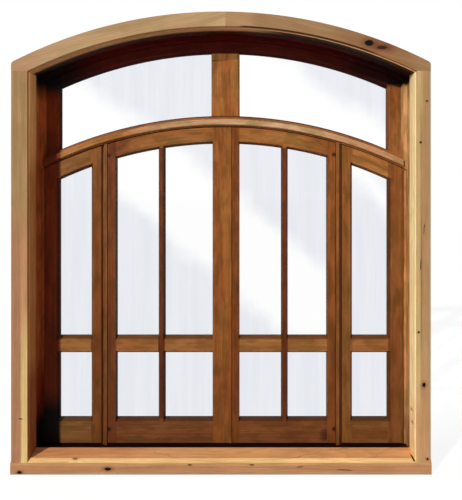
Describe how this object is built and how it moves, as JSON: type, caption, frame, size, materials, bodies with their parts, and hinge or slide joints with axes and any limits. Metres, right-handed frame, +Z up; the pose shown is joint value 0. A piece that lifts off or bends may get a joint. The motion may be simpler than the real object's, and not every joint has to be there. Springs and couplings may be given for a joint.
{
  "type": "wooden window",
  "caption": "Arched wooden window: pine casing around a stained frame with a fanlight over a curved transom, side lights and a pair of casement leaves.",
  "frame": {"origin": "on the floor plane under the middle of the window's width and depth", "axes": "+X to the viewer's right when facing the front, +Y from the front (the pale casing) towards the back, +Z up"},
  "size_m": [1.505, 0.19, 1.6539],
  "materials": {
    "pine": "planed, unfinished",
    "brown_stain": "satin brown stain",
    "pale_stain": "satin, little stain",
    "glass": "clear"
  },
  "bodies": {
    "root": {"casement_left_back_bars": "brown_stain", "casement_left_bottom_rail": "brown_stain", "casement_left_cross_bar": "brown_stain", "casement_left_glass": "glass", "casement_left_hanging_stile": "brown_stain", "casement_left_meeting_stile": "brown_stain", "casement_left_muntin": "brown_stain", "casement_left_top_rail": "brown_stain", "casement_right_back_bars": "brown_stain", "casement_right_bottom_rail": "brown_stain", "casement_right_cross_bar": "brown_stain", "casement_right_glass": "glass", "casement_right_hanging_stile": "brown_stain", "casement_right_meeting_stile": "brown_stain", "casement_right_muntin": "brown_stain", "casement_right_top_rail": "brown_stain", "casing_head_left": "pine", "casing_head_right": "pine", "casing_jamb_left": "pine", "casing_jamb_right": "pine", "casing_sill": "pine", "fanlight_beads_left": "brown_stain", "fanlight_beads_right": "brown_stain", "fanlight_bottom_rail": "brown_stain", "fanlight_glass_left": "glass", "fanlight_glass_right": "glass", "fanlight_mullion": "brown_stain", "fanlight_stile_left": "brown_stain", "fanlight_stile_right": "brown_stain", "fanlight_top_rail": "brown_stain", "frame_head": "brown_stain", "frame_jamb_left": "brown_stain", "frame_jamb_right": "brown_stain", "frame_sill": "brown_stain", "liner_head": "pine", "liner_left": "pine", "liner_right": "pine", "mullion_post_left": "brown_stain", "mullion_post_right": "brown_stain", "side_left_beads": "brown_stain", "side_left_bottom_rail": "brown_stain", "side_left_cross_bar": "brown_stain", "side_left_glass": "glass", "side_left_inner_stile": "brown_stain", "side_left_outer_stile": "brown_stain", "side_left_top_rail": "brown_stain", "side_right_beads": "brown_stain", "side_right_bottom_rail": "brown_stain", "side_right_cross_bar": "brown_stain", "side_right_glass": "glass", "side_right_inner_stile": "brown_stain", "side_right_outer_stile": "brown_stain", "side_right_top_rail": "brown_stain", "transom": "brown_stain", "transom_bead": "pale_stain"}
  },
  "joints": []
}
